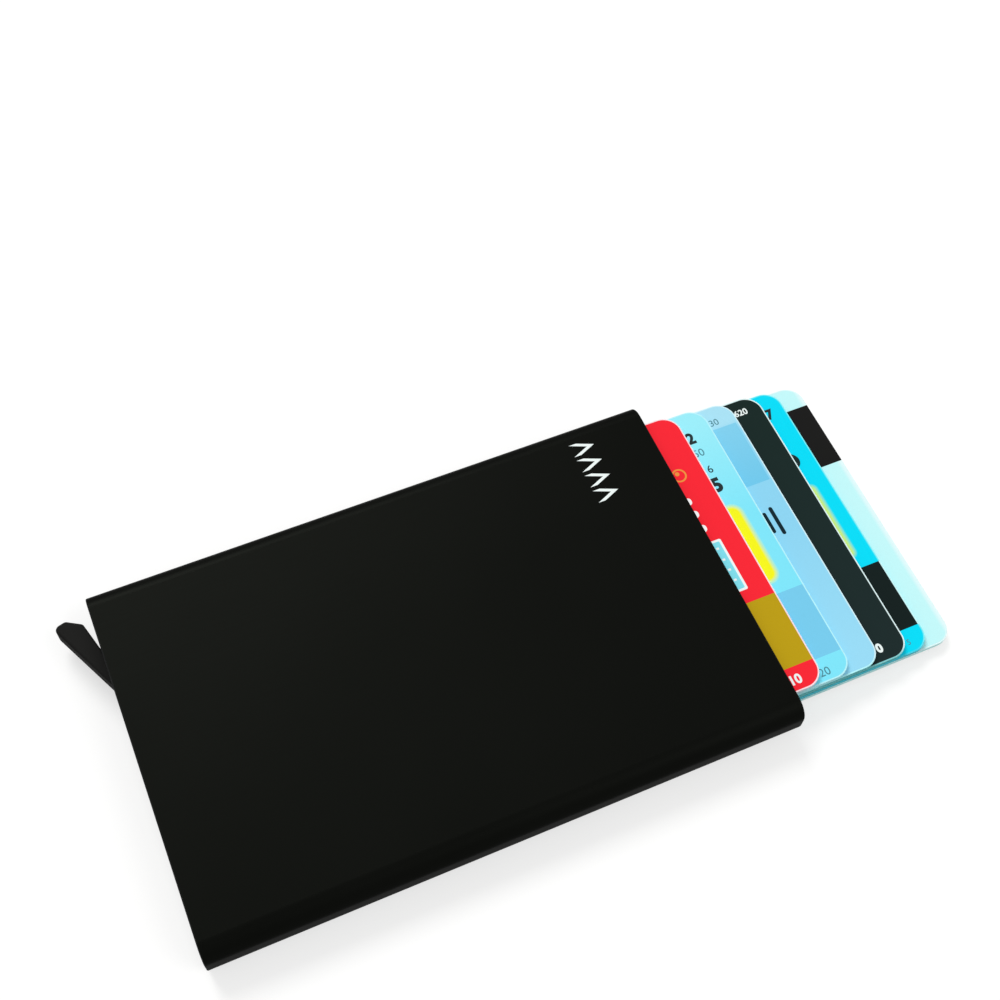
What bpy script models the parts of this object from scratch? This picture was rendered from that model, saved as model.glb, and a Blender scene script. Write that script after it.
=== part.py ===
"""A slim pop-up card wallet, in metres, +Z up.

The origin is the centre of the sleeve's underside. +X points to the mouth, where the cards come out,
+Y to the side that has the lever, and the base end is at -X. The lever is swung out and the cards
are fanned, as after one push.
"""

import math

import bmesh
import bpy

# Cards: the common payment size
card_length = 0.0856
card_width = 0.0540
card_thickness = 0.00076
card_corner_radius = 0.0032
card_spacing = 0.0002
card_names = ("red", "sky", "blue", "black", "cyan", "aqua")
card_reaches = (0.0059, 0.0113, 0.0168, 0.0225, 0.0266, 0.0312)

# Room that the sleeve leaves round the cards when they are home
card_home_recess = 0.0013
card_floor_gap = 0.0003
card_crown_gap = 0.00054
mechanism_depth = 0.0101

# Sleeve: one flat aluminium extrusion, open at both ends
main_wall = 0.0008
side_wall = 0.0010
sleeve_corner_radius = 0.0030
rim_softening = 0.0002
lever_window_radius = 0.0009

# Clearances
seat_gap = 0.0003
fit_gap = 0.0001
running_gap = 0.0002
swing_gap = 0.0004
cutter_overrun = 0.0020

# Side rails and their felt pads
rail_width = 0.0024
rail_card_gap = 0.0004
rail_start_gap = 0.0006
rail_mouth_gap = 0.0015
rail_lead_in = 0.0010
rail_lead_in_depth = 0.0008
pad_depth = 0.0009
pad_height = 0.0034
pad_length = 0.0260
pad_proud = 0.0002
pad_end_radius = 0.0010
pad_from_end_share = 0.10

# Lever: hub, finger blade outside and stepped arm inside, drawn closed and then swung
lever_swing = math.radians(25.3)
pivot_inset = 0.0035
pivot_from_side = 0.01585
end_sink = 0.0002
pin_radius = 0.0009
pin_end_gap = 0.0001
blade_tip_gap = 0.0001
blade_tip_width = 0.0038
blade_tip_slant = 0.0028
blade_tip_crown = 0.0004
blade_crown_share = 0.58
blade_root_angle = math.radians(112)
blade_tip_radius = 0.0009
blade_heel_radius = 0.0008
blade_back_gap = 0.0012
lever_edge_radius = 0.0004
elbow_back_turn = math.radians(45)
elbow_front_angle = math.radians(-15)
elbow_inset = 0.0003
arm_nose_gap = 0.0007
arm_root_width = 0.0044
arm_tip_width = 0.0034
arm_start_gap = 0.0008
arm_overlap = 0.0012
arm_end_gap = 0.0029
arm_floor_gap = 0.0004
arm_crown_gap = 0.0006
first_nose_gap = 0.0026
nose_radius = 0.0025

# Cartridge: the chassis and the cover that close the base end round the lever
plate_thickness = 0.0010
end_wall = 0.0012
end_wall_hub_gap = 0.0015
cheek_wall = 0.0014
cartridge_card_gap = 0.0004
lug_rim = 0.0013
ledge_rib = 0.0009
ledge_pocket_pitch = 0.0066
ledge_arm_gap = 0.0018
web_hub_gap = 0.0013
web_nose_radius = 0.0006
barb_height = 0.0005
barb_length = 0.0026
barb_width = 0.0028
barb_from_front = 0.0009
barb_crest_share = 0.33

# Cover screws: small countersunk self-tappers
screw_head_radius = 0.0011
screw_shank_radius = 0.0005
screw_head_depth = 0.0006
screw_length = 0.0040
screw_boss_radius = 0.0015
screw_floor_gap = 0.0002
near_screw_from_cheek = 0.0030
middle_screw_share = 0.83
far_screw_from_front = 0.0021
far_screw_from_side = 0.0035

# Facets
arc_step = math.radians(15)
step_slack_share = 0.001
round_sides = 24
smooth_angle = math.radians(35)
rim_angle = math.radians(60)

# Derived: the sleeve wraps the cards, the rails and the mechanism
card_count = len(card_names)
card_pitch = card_thickness + card_spacing
card_stack = card_pitch * card_count - card_spacing
sleeve_length = mechanism_depth + card_length + card_home_recess
rail_inner = card_width / 2 + rail_card_gap
cartridge_half_width = rail_inner + rail_width
cavity_half_width = cartridge_half_width + seat_gap
half_width = cavity_half_width + side_wall
half_length = sleeve_length / 2
base_end = -half_length
cavity_floor = main_wall
card_floor = cavity_floor + card_floor_gap
cavity_ceiling = card_floor + card_stack + card_crown_gap
sleeve_height = cavity_ceiling + main_wall
cavity_corner_radius = sleeve_corner_radius - side_wall
card_home = base_end + mechanism_depth
rail_start = card_home + rail_start_gap
rail_stop = half_length - rail_mouth_gap

# Derived: the cartridge's heights and ends
cartridge_low = cavity_floor + seat_gap
cartridge_high = cavity_ceiling - seat_gap
cartridge_start = base_end + end_sink
cartridge_end = card_home - cartridge_card_gap
cartridge_corner_radius = cavity_corner_radius - seat_gap
plate_top = cartridge_low + plate_thickness
cover_low = cartridge_high - plate_thickness
ledge_top = cover_low - fit_gap
pin_low = cartridge_low + plate_thickness / 2
pin_high = cartridge_high - plate_thickness / 2

# Derived: the lever, in places counted from its pivot
pivot_x = base_end + pivot_inset
pivot_y = half_width - pivot_from_side
near_cheek = -cartridge_half_width + cheek_wall
lever_low = plate_top + running_gap
lever_high = cover_low - running_gap
hub_radius = pivot_inset - end_sink
lug_radius = hub_radius + lug_rim
arm_start = lug_radius + arm_start_gap
arm_front = card_home - arm_nose_gap - pivot_x
first_reach = arm_start + first_nose_gap
longest_reach = pivot_y - near_cheek - nose_radius - arm_end_gap
nose_pitch = (longest_reach - first_reach) / (card_count - 1)

# Derived: what the cartridge leaves free for the lever
blade_pocket_end = cartridge_start + blade_tip_width + blade_back_gap
end_wall_stop = pivot_y - hub_radius - end_wall_hub_gap
ledge_stop = pivot_y - arm_start - ledge_arm_gap
ledge_end = pivot_x + arm_front - arm_root_width - swing_gap
cover_start = cartridge_start + end_wall + fit_gap
barb_start = cartridge_end - barb_from_front - barb_length
barb_low = (sleeve_height - barb_width) / 2
barb_high = (sleeve_height + barb_width) / 2


def clear_scene():
    for old in list(bpy.data.objects):
        bpy.data.objects.remove(old, do_unlink=True)


def make_material(name, colour, roughness, metallic=0.0):
    """A Principled material of one colour."""
    material = bpy.data.materials.new(name)
    material.use_nodes = True
    shader = material.node_tree.nodes["Principled BSDF"]
    shader.inputs["Base Color"].default_value = (*colour, 1.0)
    shader.inputs["Roughness"].default_value = roughness
    shader.inputs["Metallic"].default_value = metallic
    material.diffuse_color = (*colour, 1.0)
    return material


def add_object(name, mesh_data, material=None):
    """An object from a bmesh, smooth over its round stretches. One with no material is a helper."""
    bmesh.ops.recalc_face_normals(mesh_data, faces=mesh_data.faces)
    mesh = bpy.data.meshes.new(name)
    mesh_data.to_mesh(mesh)
    mesh_data.free()
    mesh.shade_smooth()
    mesh.set_sharp_from_angle(angle=smooth_angle)
    made = bpy.data.objects.new(name, mesh)
    bpy.context.scene.collection.objects.link(made)
    if material is None:
        made.hide_render = True
        made.display_type = "WIRE"
    else:
        mesh.materials.append(material)
    return made


def combine(target, helper, operation):
    """Adds one exact Boolean of the helper to the target."""
    step = target.modifiers.new(f"{operation.lower()} {helper.name}", "BOOLEAN")
    step.operation = operation
    step.solver = "EXACT"
    step.object = helper
    helper.parent = target
    helper.matrix_parent_inverse = target.matrix_world.inverted()


def arc_points(centre, radius, start, turn):
    """Points along an arc, both ends included."""
    count = max(1, math.ceil(abs(turn) / arc_step - step_slack_share))
    angles = [start + turn * i / count for i in range(count + 1)]
    return [(centre[0] + radius * math.cos(a), centre[1] + radius * math.sin(a)) for a in angles]


def rounded_outline(corners):
    """A closed outline through corners of (x, y, radius), each radius turned into an arc."""
    points = []
    for i, (x, y, radius) in enumerate(corners):
        if not radius:
            points.append((x, y))
            continue
        before, after = corners[i - 1], corners[(i + 1) % len(corners)]
        arriving = math.atan2(y - before[1], x - before[0])
        leaving = math.atan2(after[1] - y, after[0] - x)
        turn = (leaving - arriving + math.pi) % (2 * math.pi) - math.pi
        setback = radius * math.tan(abs(turn) / 2)
        side = math.copysign(math.pi / 2, turn)
        start = (x - setback * math.cos(arriving), y - setback * math.sin(arriving))
        centre = (
            start[0] + radius * math.cos(arriving + side),
            start[1] + radius * math.sin(arriving + side),
        )
        points += arc_points(centre, radius, arriving - side, turn)
    return points


def rounded_rectangle(low, high, radius):
    """The outline of a rectangle from corner low to corner high with round corners."""
    return rounded_outline(
        [
            (low[0], low[1], radius),
            (high[0], low[1], radius),
            (high[0], high[1], radius),
            (low[0], high[1], radius),
        ]
    )


def extruded(place, start, stop):
    """A bmesh of a closed outline, already placed at start, drawn straight to stop."""
    mesh_data = bmesh.new()
    rings = [[mesh_data.verts.new(point) for point in place(height)] for height in (start, stop)]
    mesh_data.faces.new(rings[0])
    mesh_data.faces.new(rings[1])
    for i in range(len(rings[0])):
        mesh_data.faces.new((rings[0][i - 1], rings[0][i], rings[1][i], rings[1][i - 1]))
    return mesh_data


def prism(name, outline, low, high, material=None):
    """An outline in X and Y drawn up from low to high."""
    return add_object(name, extruded(lambda z: [(x, y, z) for x, y in outline], low, high), material)


def bar(name, outline, start, stop, material=None):
    """An outline in Y and Z drawn along X from start to stop."""
    return add_object(name, extruded(lambda x: [(x, y, z) for y, z in outline], start, stop), material)


def box(name, low, high, material=None):
    """A plain block between two corners."""
    corners = [(low[0], low[1]), (high[0], low[1]), (high[0], high[1]), (low[0], high[1])]
    return prism(name, corners, low[2], high[2], material)


def disc(name, centre, radius, low, high, material=None):
    """A round boss, bore or pin standing along Z."""
    outline = [
        (
            centre[0] + radius * math.cos(2 * math.pi * i / round_sides),
            centre[1] + radius * math.sin(2 * math.pi * i / round_sides),
        )
        for i in range(round_sides)
    ]
    return prism(name, outline, low, high, material)


def turned(name, centre, profile, material=None):
    """A solid of revolution about a line along Z, from (radius, z) steps that start and end on it."""
    mesh_data = bmesh.new()
    rings = []
    for radius, z in profile:
        sides = round_sides if radius else 1
        rings.append(
            [
                mesh_data.verts.new(
                    (
                        centre[0] + radius * math.cos(2 * math.pi * i / sides),
                        centre[1] + radius * math.sin(2 * math.pi * i / sides),
                        z,
                    )
                )
                for i in range(sides)
            ]
        )
    for lower, upper in zip(rings, rings[1:]):
        for i in range(round_sides):
            below = [lower[i - 1], lower[i]] if len(lower) > 1 else lower
            above = [upper[i], upper[i - 1]] if len(upper) > 1 else upper
            mesh_data.faces.new(below + above)
    return add_object(name, mesh_data, material)


def make_sleeve(material):
    """The extrusion: a flat tube with round long edges and softened rims, lofted round its wall."""

    def loop(x, inset_y, inset_z, radius):
        low = (-half_width + inset_y, inset_z)
        high = (half_width - inset_y, sleeve_height - inset_z)
        return [(x, y, z) for y, z in rounded_rectangle(low, high, radius)]

    def outside(x, inset):
        return loop(x, inset, inset, sleeve_corner_radius - inset)

    def inside(x):
        return loop(x, side_wall, main_wall, cavity_corner_radius)

    loops = [
        outside(-half_length, rim_softening),
        outside(-half_length + rim_softening, 0),
        outside(half_length - rim_softening, 0),
        outside(half_length, rim_softening),
        inside(half_length),
        inside(-half_length),
    ]
    mesh_data = bmesh.new()
    rings = [[mesh_data.verts.new(point) for point in points] for points in loops]
    for j, ring in enumerate(rings):
        before = rings[j - 1]
        for i in range(len(ring)):
            mesh_data.faces.new((before[i - 1], before[i], ring[i], ring[i - 1]))
    sleeve = add_object("sleeve", mesh_data, material)

    window = rounded_rectangle(
        (base_end - cutter_overrun, lever_low - swing_gap),
        (blade_pocket_end, lever_high + swing_gap),
        lever_window_radius,
    )
    wall_start = cavity_half_width - cavity_corner_radius
    mesh_data = extruded(
        lambda y: [(x, y, z) for x, z in window], wall_start, half_width + cutter_overrun
    )
    combine(sleeve, add_object("lever_window_cutter", mesh_data), "DIFFERENCE")
    for side, label in ((-1, "near"), (1, "far")):
        edges = sorted((side * cavity_half_width, side * (cavity_half_width + barb_height)))
        edges[(1 - side) // 2] -= side * cutter_overrun
        pocket = box(
            f"{label}_barb_pocket",
            (barb_start - seat_gap, edges[0], barb_low - seat_gap),
            (barb_start + barb_length + seat_gap, edges[1], barb_high + seat_gap),
        )
        combine(sleeve, pocket, "DIFFERENCE")
    return sleeve


def cartridge_envelope(name, low, high):
    """What fits the sleeve's cavity at its base end, between two heights."""
    outline = rounded_rectangle(
        (-cartridge_half_width, cartridge_low),
        (cartridge_half_width, cartridge_high),
        cartridge_corner_radius,
    )
    envelope = bar(name, outline, cartridge_start, cartridge_end)
    slab = box(
        f"{name}_slab",
        (cartridge_start - cutter_overrun, -half_width, low),
        (cartridge_end + cutter_overrun, half_width, high),
    )
    combine(envelope, slab, "INTERSECT")
    return envelope


def screw_places():
    """The three screws: two on the strip behind the end wall and one in the far block."""
    strip_x = (cover_start + ledge_end) / 2
    near_y = near_cheek + near_screw_from_cheek
    return {
        "near": (strip_x, near_y),
        "middle": (strip_x, near_y + (ledge_stop - near_y) * middle_screw_share),
        "far": (cartridge_end - far_screw_from_front, cartridge_half_width - far_screw_from_side),
    }


def web_outline():
    """The wall behind the closed blade that joins floor to cover, clear of the swinging elbow."""
    hub_top = pivot_y + hub_radius
    return rounded_outline(
        [
            (blade_pocket_end, half_width, 0),
            (blade_pocket_end, hub_top + web_hub_gap, web_nose_radius),
            (pivot_x + hub_radius, hub_top, web_nose_radius),
            (cartridge_end, pivot_y, 0),
            (cartridge_end, half_width, 0),
        ]
    )


def stop_wing(name, low, high):
    """The plates' slanted edge, square to the swung arm, that the arm's root lands on."""
    reach = cartridge_end - pivot_x + cutter_overrun
    wing = box(name, (0, seat_gap - arm_start, low), (reach, 0, high))
    wing.location = (pivot_x, pivot_y, 0)
    wing.rotation_euler = (0, 0, lever_swing)
    return wing


def make_chassis(material):
    """The moulding that closes the base end: end wall, cored ledge, near cheek, lug and far web."""
    overrun_low = cartridge_low - cutter_overrun
    chassis = box(
        "base_chassis",
        (cartridge_start - cutter_overrun, -half_width, overrun_low),
        (cartridge_start + end_wall, end_wall_stop, sleeve_height + cutter_overrun),
        material,
    )
    ledge = box(
        "chassis_ledge",
        (cartridge_start, -half_width, overrun_low),
        (ledge_end, ledge_stop, ledge_top),
    )
    neck = box(
        "floor_neck",
        (cartridge_start, ledge_stop - ledge_rib, overrun_low),
        (ledge_end, pivot_y, plate_top),
    )
    cheek = box(
        "near_cheek",
        (cartridge_start, -half_width, overrun_low),
        (cartridge_end + cutter_overrun, near_cheek, ledge_top),
    )
    lug = disc("lower_lug", (pivot_x, pivot_y), lug_radius, overrun_low, plate_top)
    wing = stop_wing("lower_stop_wing", overrun_low, plate_top)
    far_floor = box(
        "far_floor",
        (cartridge_start - cutter_overrun, pivot_y, overrun_low),
        (cartridge_end + cutter_overrun, half_width, plate_top),
    )
    web = prism("far_web", web_outline(), overrun_low, ledge_top)
    for piece in (ledge, neck, cheek, lug, wing, far_floor, web):
        combine(chassis, piece, "UNION")
    envelope = cartridge_envelope("chassis_envelope", overrun_low, sleeve_height + cutter_overrun)
    combine(chassis, envelope, "INTERSECT")

    bore = disc(
        "chassis_pin_bore",
        (pivot_x, pivot_y),
        pin_radius + fit_gap,
        pin_low - pin_end_gap,
        plate_top + cutter_overrun,
    )
    combine(chassis, bore, "DIFFERENCE")
    for label, place in screw_places().items():
        hole = disc(
            f"{label}_screw_bore",
            place,
            screw_shank_radius + fit_gap,
            cartridge_high - screw_length - screw_floor_gap,
            sleeve_height,
        )
        combine(chassis, hole, "DIFFERENCE")
    for i, (low, high) in enumerate(ledge_pockets()):
        pocket = box(
            f"ledge_pocket_{i + 1}",
            (cartridge_start + end_wall, low, plate_top),
            (ledge_end - ledge_rib, high, sleeve_height),
        )
        combine(chassis, pocket, "DIFFERENCE")
    for side, label in ((-1, "near"), (1, "far")):
        combine(chassis, snap_barb(label, side), "UNION")
    return chassis


def ledge_pockets():
    """The cored-out stretches of the ledge, even ribs between them, none where a screw boss stands."""
    first = near_cheek + ledge_rib
    last = ledge_stop - ledge_rib
    count = int((last - first) // ledge_pocket_pitch)
    pitch = (last - first + ledge_rib) / count
    spans = [(first + pitch * i, first + pitch * (i + 1) - ledge_rib) for i in range(count)]
    bosses = [y for x, y in screw_places().values() if x < ledge_end]
    cleared = []
    for low, high in spans:
        for boss in bosses:
            if low - screw_boss_radius < boss < high + screw_boss_radius:
                if boss - low > high - boss:
                    high = min(high, boss - screw_boss_radius)
                else:
                    low = max(low, boss + screw_boss_radius)
        if high - low > ledge_rib:
            cleared.append((low, high))
    return cleared


def snap_barb(label, side):
    """A moulded wedge on the cartridge's side that clicks into the sleeve's wall."""
    root = side * (cartridge_half_width - cheek_wall / 2)
    skin = side * cartridge_half_width
    crest = side * (cavity_half_width + barb_height - seat_gap)
    outline = [
        (barb_start, root),
        (barb_start, crest),
        (barb_start + barb_length * barb_crest_share, crest),
        (barb_start + barb_length, skin),
        (barb_start + barb_length, root),
    ]
    return prism(f"{label}_barb", outline, barb_low, barb_high)


def make_cover(material):
    """The plate over the lever's hub and the chassis ledge, with countersunk holes for its screws."""
    above = cartridge_high + cutter_overrun
    cover = disc("mechanism_cover", (pivot_x, pivot_y), lug_radius, cover_low, above, material)
    strip = box(
        "cover_strip",
        (cover_start, near_cheek + fit_gap, cover_low),
        (ledge_end, pivot_y, above),
    )
    far_plate = box(
        "cover_far_plate",
        (cartridge_start - cutter_overrun, pivot_y, cover_low),
        (cartridge_end + cutter_overrun, half_width, above),
    )
    wing = stop_wing("cover_stop_wing", cover_low, above)
    for piece in (strip, wing, far_plate):
        combine(cover, piece, "UNION")
    envelope = cartridge_envelope("cover_envelope", cover_low, sleeve_height + cutter_overrun)
    combine(cover, envelope, "INTERSECT")
    end_wall_clearance = box(
        "end_wall_clearance",
        (cartridge_start - cutter_overrun, -half_width, cover_low - cutter_overrun),
        (cover_start, end_wall_stop + fit_gap, above + cutter_overrun),
    )
    combine(cover, end_wall_clearance, "DIFFERENCE")
    bore = disc(
        "cover_pin_bore",
        (pivot_x, pivot_y),
        pin_radius + fit_gap,
        cover_low - cutter_overrun,
        pin_high + pin_end_gap,
    )
    combine(cover, bore, "DIFFERENCE")
    for label, place in screw_places().items():
        narrow = screw_shank_radius + fit_gap
        wide = screw_head_radius + fit_gap
        profile = [
            (0, cover_low - cutter_overrun),
            (narrow, cover_low - cutter_overrun),
            (narrow, cartridge_high - screw_head_depth - fit_gap),
            (wide, cartridge_high - fit_gap),
            (wide, above),
            (0, above),
        ]
        combine(cover, turned(f"{label}_countersink", place, profile), "DIFFERENCE")
    return cover


def make_screws(material):
    """The cover's screws: each a flat cone of a head on a plain shank."""
    top = cartridge_high - fit_gap
    for label, place in screw_places().items():
        profile = [
            (0, top - screw_length),
            (screw_shank_radius, top - screw_length + screw_shank_radius),
            (screw_shank_radius, top - screw_head_depth),
            (screw_head_radius, top),
            (0, top),
        ]
        turned(f"cover_screw_{label}", place, profile, material)


def make_pin(material):
    """The steel dowel that the lever turns on, chamfered at both ends."""
    chamfer = pin_end_gap
    profile = [
        (0, pin_low),
        (pin_radius - chamfer, pin_low),
        (pin_radius, pin_low + chamfer),
        (pin_radius, pin_high - chamfer),
        (pin_radius - chamfer, pin_high),
        (0, pin_high),
    ]
    return turned("pivot_pin", (pivot_x, pivot_y), profile, material)


def lever_body_outline():
    """Hub, finger blade and elbow in one outline, closed: the blade runs along the base end."""
    tip = pivot_from_side - blade_tip_gap
    outer = -hub_radius
    elbow_end = -arm_start - arm_overlap
    back = arc_points((0, 0), hub_radius, math.pi, elbow_back_turn)
    front = arc_points((0, 0), hub_radius, elbow_front_angle, blade_root_angle - elbow_front_angle)
    return rounded_outline(
        [(x, y, 0) for x, y in back]
        + [
            (arm_front - arm_root_width + elbow_inset, elbow_end, 0),
            (arm_front - elbow_inset, elbow_end, 0),
            (arm_front - elbow_inset, -arm_start, 0),
        ]
        + [(x, y, 0) for x, y in front]
        + [
            (outer + blade_tip_width, tip - blade_tip_slant, blade_heel_radius),
            (outer + blade_tip_width * blade_crown_share, tip - blade_tip_crown, blade_heel_radius),
            (outer, tip, blade_tip_radius),
        ]
    )


def arm_width_at(reach):
    """The arm's width, which tapers on its back side from its start to its tip."""
    taper_share = (reach - arm_start) / (longest_reach - arm_start)
    return arm_root_width + (arm_tip_width - arm_root_width) * taper_share


def nose_centre(reach):
    return (arm_front - arm_width_at(reach) / 2, -reach)


def arm_outline():
    """The whole arm: a straight front, a tapered back and a round nose at its end."""
    corner = math.acos(arm_width_at(longest_reach) / 2 / nose_radius)
    nose = arc_points(nose_centre(longest_reach), nose_radius, -corner, 2 * corner - math.pi)
    return [(arm_front, -arm_start)] + nose + [(arm_front - arm_root_width, -arm_start)]


def step_outline(reach):
    """What is cut off above a step: all that lies past the step's round nose."""
    low_x = arm_front - arm_root_width - cutter_overrun
    high_x = arm_front + cutter_overrun
    far_y = -longest_reach - nose_radius - cutter_overrun
    nose = arc_points(nose_centre(reach), nose_radius, 0, -math.pi)
    return [(high_x, -reach)] + nose + [(low_x, -reach), (low_x, far_y), (high_x, far_y)]


def make_lever(material):
    """One moulding: a hub on the pin, the finger blade outside, and an arm with a step for each card."""
    lever = prism("eject_lever", lever_body_outline(), lever_low, lever_high, material)
    soften = lever.modifiers.new("soft edges", "BEVEL")
    soften.width = lever_edge_radius
    soften.segments = 2
    soften.limit_method = "ANGLE"
    soften.angle_limit = rim_angle

    arm_low = cavity_floor + arm_floor_gap
    arm_high = cavity_ceiling - arm_crown_gap
    arm = prism("lever_arm", arm_outline(), arm_low, arm_high)
    for step in range(1, card_count):
        reach = first_reach + nose_pitch * (step - 1)
        top = card_floor + card_pitch * (card_count - step) - card_spacing / 2
        above = prism(f"above_step_{step + 1}", step_outline(reach), top, sleeve_height)
        combine(arm, above, "DIFFERENCE")
    combine(lever, arm, "UNION")

    bore = disc(
        "lever_bore",
        (0, 0),
        pin_radius + fit_gap,
        lever_low - cutter_overrun,
        lever_high + cutter_overrun,
    )
    combine(lever, bore, "DIFFERENCE")
    lever.location = (pivot_x, pivot_y, 0)
    lever.rotation_euler = (0, 0, lever_swing)
    return lever


def pad_spans():
    """Where the two felt pads of each rail start and stop."""
    reach = rail_stop - rail_start
    inset = reach * pad_from_end_share
    return {
        "rear": (rail_start + inset, rail_start + inset + pad_length),
        "front": (rail_stop - inset - pad_length, rail_stop - inset),
    }


def make_rail(label, side, rail_material, felt_material):
    """A side rail that fills the round of the sleeve's edge, grooved for its two felt pads."""
    outline = rounded_outline(
        [
            (side * rail_inner, cartridge_low, 0),
            (side * cartridge_half_width, cartridge_low, cartridge_corner_radius),
            (side * cartridge_half_width, cartridge_high, cartridge_corner_radius),
            (side * rail_inner, cartridge_high, 0),
        ]
    )
    rail = bar(f"{label}_side_rail", outline, rail_start, rail_stop, rail_material)
    lead_in = prism(
        f"{label}_lead_in_cutter",
        [
            (rail_stop - rail_lead_in, side * rail_inner),
            (rail_stop + cutter_overrun, side * (rail_inner + rail_lead_in_depth)),
            (rail_stop + cutter_overrun, side * (rail_inner - cutter_overrun)),
            (rail_stop - rail_lead_in, side * (rail_inner - cutter_overrun)),
        ],
        cartridge_low - cutter_overrun,
        cartridge_high + cutter_overrun,
    )
    combine(rail, lead_in, "DIFFERENCE")
    pad_low = (sleeve_height - pad_height) / 2
    pad_high = (sleeve_height + pad_height) / 2
    for end, (start, stop) in pad_spans().items():
        groove = rounded_rectangle(
            (start - fit_gap, pad_low - fit_gap),
            (stop + fit_gap, pad_high + fit_gap),
            pad_end_radius + fit_gap,
        )
        sides = (side * (rail_inner - cutter_overrun), side * (rail_inner + pad_depth + fit_gap))
        cut = extruded(lambda y, flat=groove: [(x, y, z) for x, z in flat], *sides)
        combine(rail, add_object(f"{label}_{end}_pad_groove", cut), "DIFFERENCE")
        pad = rounded_rectangle((start, pad_low), (stop, pad_high), pad_end_radius)
        sides = (side * (rail_inner - pad_proud), side * (rail_inner + pad_depth))
        felt = extruded(lambda y, flat=pad: [(x, y, z) for x, z in flat], *sides)
        add_object(f"{label}_{end}_felt_pad", felt, felt_material)
    return rail


def make_cards(materials):
    """Six cards, each pushed out by its own step, the top one least."""
    outline = rounded_rectangle(
        (-card_length / 2, -card_width / 2), (card_length / 2, card_width / 2), card_corner_radius
    )
    for i, (name, reach) in enumerate(zip(card_names, card_reaches)):
        card = prism(f"card_{i + 1}_{name}", outline, 0, card_thickness, materials[name])
        level = card_count - 1 - i
        card.location = (half_length + reach - card_length / 2, 0, card_floor + card_pitch * level)


def angle_shading():
    """A node tree that shades a finished solid smooth, with its edges over the smooth angle kept sharp."""
    tree = bpy.data.node_groups.new("angle_shading", "GeometryNodeTree")
    tree.interface.new_socket("Geometry", in_out="INPUT", socket_type="NodeSocketGeometry")
    tree.interface.new_socket("Geometry", in_out="OUTPUT", socket_type="NodeSocketGeometry")
    start = tree.nodes.new("NodeGroupInput")
    faces = tree.nodes.new("GeometryNodeSetShadeSmooth")
    edges = tree.nodes.new("GeometryNodeSetShadeSmooth")
    edges.domain = "EDGE"
    edges.inputs["Shade Smooth"].default_value = False
    turn = tree.nodes.new("GeometryNodeInputMeshEdgeAngle")
    steep = tree.nodes.new("FunctionNodeCompare")
    steep.operation = "GREATER_THAN"
    steep.inputs["B"].default_value = smooth_angle
    end = tree.nodes.new("NodeGroupOutput")
    tree.links.new(start.outputs[0], faces.inputs["Geometry"])
    tree.links.new(faces.outputs[0], edges.inputs["Geometry"])
    tree.links.new(turn.outputs["Unsigned Angle"], steep.inputs["A"])
    tree.links.new(steep.outputs[0], edges.inputs["Selection"])
    tree.links.new(edges.outputs[0], end.inputs[0])
    return tree


def shade_solids():
    """Every solid's last modifier, so that the edges its Booleans cut stay crisp."""
    tree = angle_shading()
    for solid in bpy.context.scene.objects:
        if solid.type == "MESH" and not solid.hide_render:
            solid.modifiers.new("shade by angle", "NODES").node_group = tree


clear_scene()
anodised = make_material("black_anodised", (0.012, 0.012, 0.013), 0.42, 1.0)
moulding = make_material("black_moulding", (0.016, 0.016, 0.017), 0.55)
lever_plastic = make_material("lever_plastic", (0.022, 0.022, 0.024), 0.45)
rail_plastic = make_material("rail_plastic", (0.014, 0.014, 0.015), 0.5)
felt = make_material("grey_felt", (0.06, 0.06, 0.065), 0.95)
steel = make_material("bright_steel", (0.6, 0.6, 0.6), 0.25, 1.0)
card_colours = {
    "red": (0.94, 0.03, 0.05),
    "sky": (0.27, 0.79, 0.95),
    "blue": (0.25, 0.58, 0.87),
    "black": (0.017, 0.023, 0.023),
    "cyan": (0.0, 0.75, 1.0),
    "aqua": (0.58, 0.95, 0.95),
}
card_materials = {
    name: make_material(f"{name}_card", colour, 0.3) for name, colour in card_colours.items()
}
make_sleeve(anodised)
make_chassis(moulding)
make_cover(moulding)
make_screws(steel)
make_pin(steel)
make_lever(lever_plastic)
make_rail("near", -1, rail_plastic, felt)
make_rail("far", 1, rail_plastic, felt)
make_cards(card_materials)
shade_solids()
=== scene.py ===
import math

import bmesh
import bpy
from mathutils import Matrix, Vector


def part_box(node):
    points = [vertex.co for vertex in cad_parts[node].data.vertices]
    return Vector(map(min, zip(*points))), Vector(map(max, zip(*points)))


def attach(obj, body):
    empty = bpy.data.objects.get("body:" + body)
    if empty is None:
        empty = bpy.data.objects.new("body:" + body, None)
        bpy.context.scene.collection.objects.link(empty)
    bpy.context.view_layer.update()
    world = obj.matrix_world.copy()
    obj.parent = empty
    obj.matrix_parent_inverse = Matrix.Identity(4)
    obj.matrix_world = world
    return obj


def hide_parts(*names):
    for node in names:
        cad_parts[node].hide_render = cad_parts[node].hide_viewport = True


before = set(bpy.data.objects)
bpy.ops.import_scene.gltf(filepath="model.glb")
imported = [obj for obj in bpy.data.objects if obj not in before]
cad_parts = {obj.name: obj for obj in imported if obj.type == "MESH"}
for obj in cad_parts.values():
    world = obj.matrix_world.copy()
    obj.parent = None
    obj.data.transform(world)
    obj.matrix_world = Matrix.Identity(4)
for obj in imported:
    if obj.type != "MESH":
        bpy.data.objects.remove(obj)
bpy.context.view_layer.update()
scene = bpy.context.scene
scene.view_settings.view_transform = "Standard"


# Viewpoint
# The wallet lies flat and is seen from high above its near side and from a little behind its base
# end, through a normal lens that is tipped a few degrees.
view_aim = Vector((0.02052, 0.02389, 0.0040))
view_distance = 0.25007
view_azimuth = math.radians(-26.359)
view_elevation = math.radians(59.540)
view_roll = math.radians(3.598)
view_lens = 53.284
view_sensor = 36.0
view_nearest = 0.01

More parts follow.
